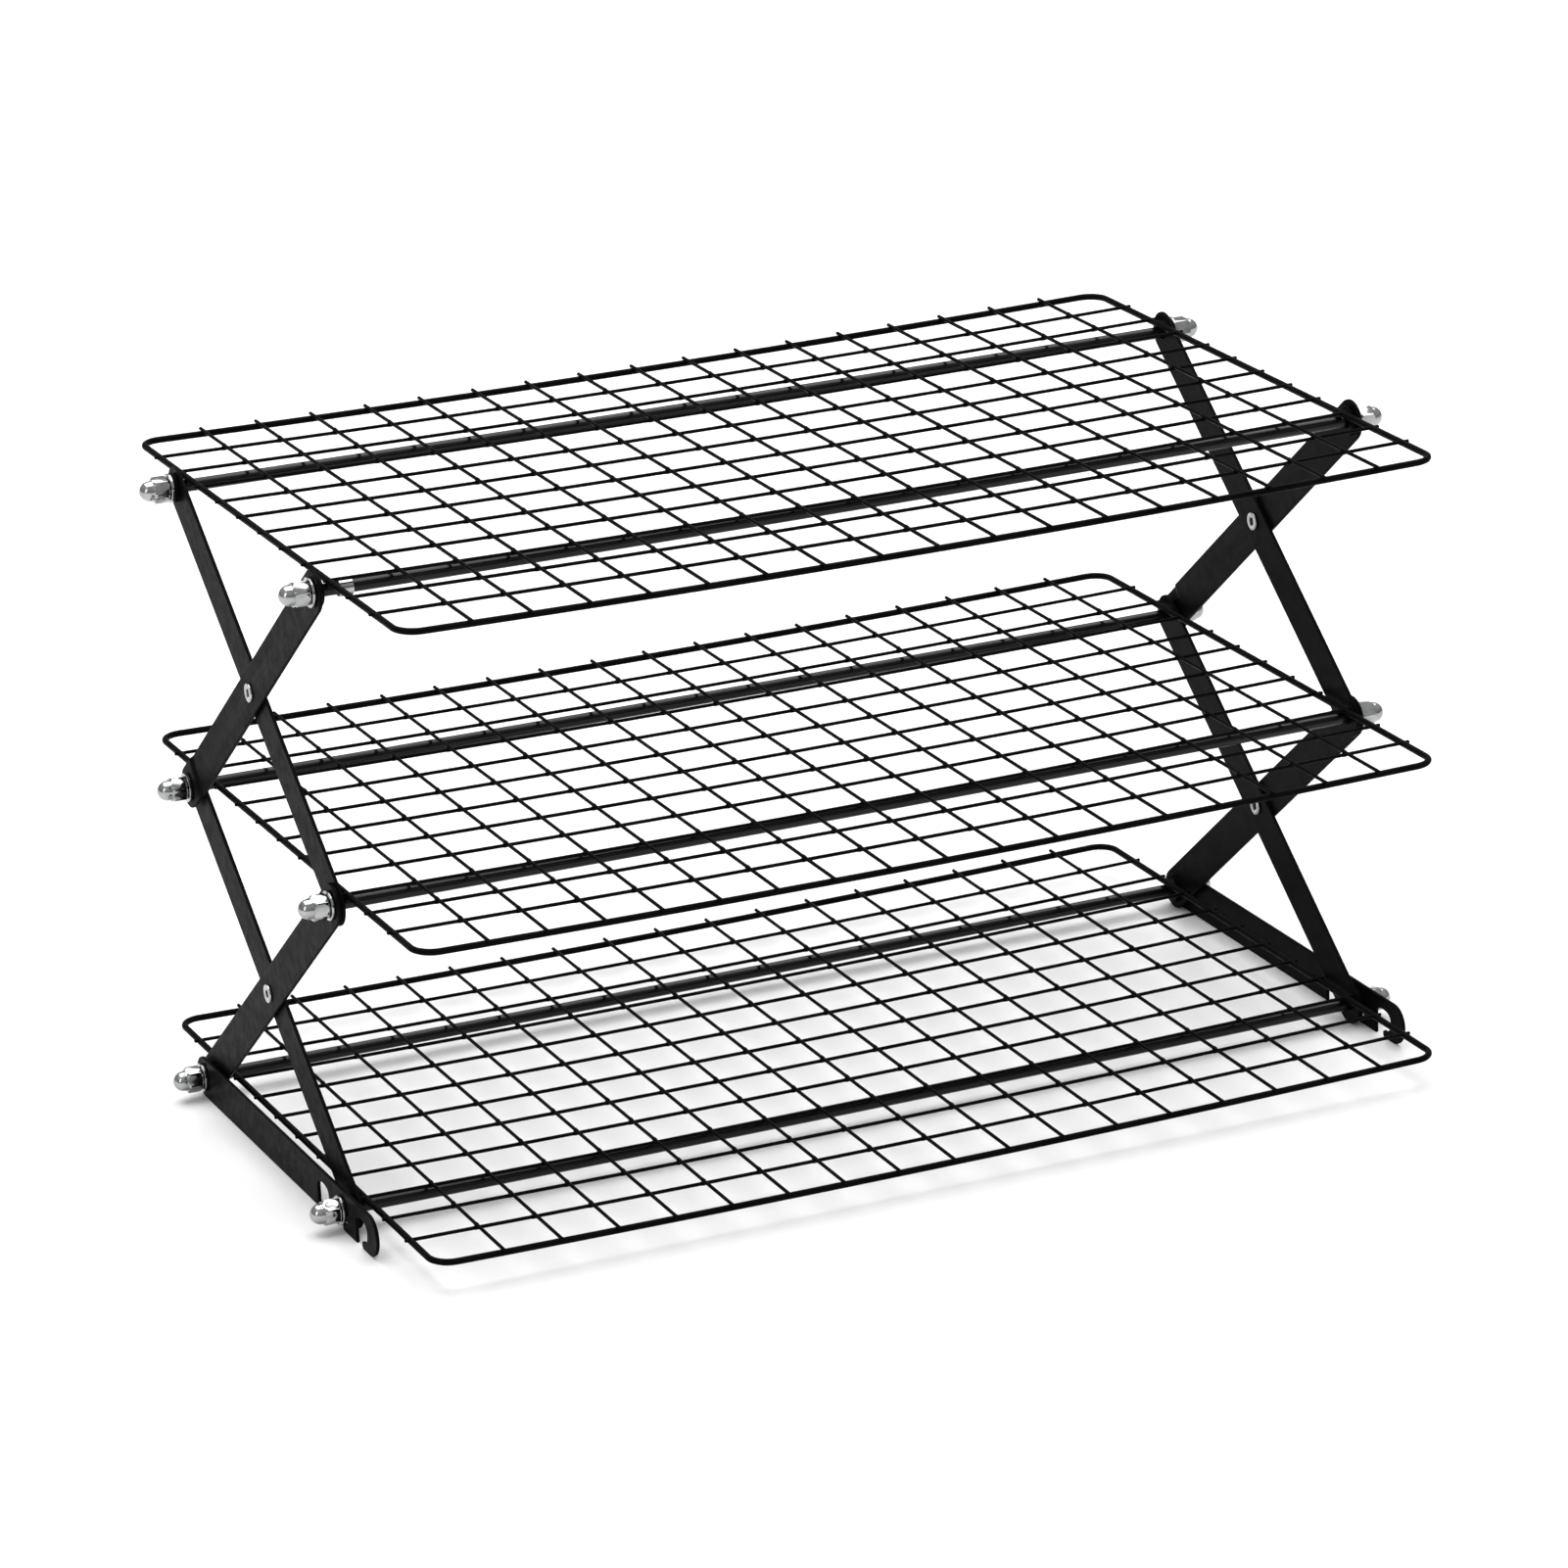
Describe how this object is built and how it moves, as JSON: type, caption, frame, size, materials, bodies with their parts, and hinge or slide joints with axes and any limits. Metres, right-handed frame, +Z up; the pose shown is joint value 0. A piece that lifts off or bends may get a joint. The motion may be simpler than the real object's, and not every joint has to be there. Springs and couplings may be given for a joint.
{
  "type": "three-tier folding cooling rack",
  "caption": "Folding three-tier wire cooling rack: three black wire grids on scissor arms, joined by cross rods with acorn nuts, with notched lock bars at the base.",
  "frame": {"origin": "on the floor, under the middle of the grids' outline", "axes": "+X to the right, +Y to the rear where the grids hinge, +Z up"},
  "size_m": [0.5034, 0.3098, 0.282],
  "materials": {
    "black_coat": "semi-gloss black coat on steel wire, flat bar, rods and spacers",
    "bright_zinc": "bright zinc-plated steel nuts, washers, rivets and stop collar"
  },
  "bodies": {
    "root": {"bottom_grid": "black_coat", "bottom_rear_rod": "black_coat", "bottom_rear_arm_spacer_left": "black_coat", "bottom_rear_arm_spacer_right": "black_coat", "bottom_rear_lock_spacer_left": "black_coat", "bottom_rear_lock_spacer_right": "black_coat", "bottom_rear_washer_left": "bright_zinc", "bottom_rear_washer_right": "bright_zinc", "bottom_rear_acorn_nut_left": "bright_zinc", "bottom_rear_acorn_nut_right": "bright_zinc"},
    "lower_outer_arms": {"lower_outer_arm_left": "black_coat", "lower_outer_arm_right": "black_coat", "lower_rivet_left": "bright_zinc", "lower_rivet_right": "bright_zinc", "middle_front_rod": "black_coat", "middle_front_washer_left": "bright_zinc", "middle_front_washer_right": "bright_zinc", "middle_front_acorn_nut_left": "bright_zinc", "middle_front_acorn_nut_right": "bright_zinc"},
    "lower_inner_arms": {"lower_inner_arm_left": "black_coat", "lower_inner_arm_right": "black_coat", "bottom_front_rod": "black_coat", "bottom_front_lock_spacer_left": "black_coat", "bottom_front_lock_spacer_right": "black_coat", "bottom_front_washer_left": "bright_zinc", "bottom_front_washer_right": "bright_zinc", "bottom_front_acorn_nut_left": "bright_zinc", "bottom_front_acorn_nut_right": "bright_zinc"},
    "upper_outer_arms": {"upper_outer_arm_left": "black_coat", "upper_outer_arm_right": "black_coat", "upper_rivet_left": "bright_zinc", "upper_rivet_right": "bright_zinc", "top_front_rod": "black_coat", "top_front_arm_spacer_left": "black_coat", "top_front_arm_spacer_right": "black_coat", "top_front_washer_left": "bright_zinc", "top_front_washer_right": "bright_zinc", "top_front_acorn_nut_left": "bright_zinc", "top_front_acorn_nut_right": "bright_zinc", "top_front_stop_collar_left": "bright_zinc"},
    "upper_inner_arms": {"upper_inner_arm_left": "black_coat", "upper_inner_arm_right": "black_coat"},
    "middle_shelf": {"middle_grid": "black_coat", "middle_rear_rod": "black_coat", "middle_rear_arm_spacer_left": "black_coat", "middle_rear_arm_spacer_right": "black_coat", "middle_rear_washer_left": "bright_zinc", "middle_rear_washer_right": "bright_zinc", "middle_rear_acorn_nut_left": "bright_zinc", "middle_rear_acorn_nut_right": "bright_zinc"},
    "top_shelf": {"top_grid": "black_coat", "top_rear_rod": "black_coat", "top_rear_arm_spacer_left": "black_coat", "top_rear_arm_spacer_right": "black_coat", "top_rear_washer_left": "bright_zinc", "top_rear_washer_right": "bright_zinc", "top_rear_acorn_nut_left": "bright_zinc", "top_rear_acorn_nut_right": "bright_zinc"},
    "lock_bar_left": {"lock_bar_left": "black_coat"},
    "lock_bar_right": {"lock_bar_right": "black_coat"}
  },
  "joints": [
    {"name": "fold", "type": "hinge", "parent": "root", "child": "lower_outer_arms", "pos_m": [0, 0.095, 0.009], "axis": [1, 0, 0], "range_deg": [0, 32]},
    {"name": "lower_cross", "type": "hinge", "parent": "lower_outer_arms", "child": "lower_inner_arms", "pos_m": [0, 0.012, 0.075], "axis": [1, 0, 0], "range_deg": [-64, 0]},
    {"name": "middle_rear_pivot", "type": "hinge", "parent": "lower_inner_arms", "child": "upper_outer_arms", "pos_m": [0, 0.095, 0.141], "axis": [1, 0, 0], "range_deg": [0, 64]},
    {"name": "upper_cross", "type": "hinge", "parent": "upper_outer_arms", "child": "upper_inner_arms", "pos_m": [0, 0.012, 0.207], "axis": [1, 0, 0], "range_deg": [-64, 0]},
    {"name": "middle_shelf_pivot", "type": "hinge", "parent": "lower_inner_arms", "child": "middle_shelf", "pos_m": [0, 0.095, 0.141], "axis": [1, 0, 0], "range_deg": [0, 32]},
    {"name": "top_shelf_pivot", "type": "hinge", "parent": "upper_inner_arms", "child": "top_shelf", "pos_m": [0, 0.095, 0.273], "axis": [1, 0, 0], "range_deg": [0, 32]},
    {"name": "lock_lift_left", "type": "hinge", "parent": "root", "child": "lock_bar_left", "pos_m": [0, 0.095, 0.009], "axis": [-1, 0, 0], "range_deg": [0, 45.44]},
    {"name": "lock_lift_right", "type": "hinge", "parent": "root", "child": "lock_bar_right", "pos_m": [0, 0.095, 0.009], "axis": [-1, 0, 0], "range_deg": [0, 45.44]}
  ],
  "couplings": [
    {"joint": "lower_cross", "follows": "fold", "ratio": -2},
    {"joint": "middle_rear_pivot", "follows": "fold", "ratio": 2},
    {"joint": "upper_cross", "follows": "fold", "ratio": -2},
    {"joint": "middle_shelf_pivot", "follows": "fold", "ratio": 1},
    {"joint": "top_shelf_pivot", "follows": "fold", "ratio": 1},
    {"joint": "lock_lift_left", "follows": "fold", "ratio": 1.42},
    {"joint": "lock_lift_right", "follows": "fold", "ratio": 1.42}
  ]
}
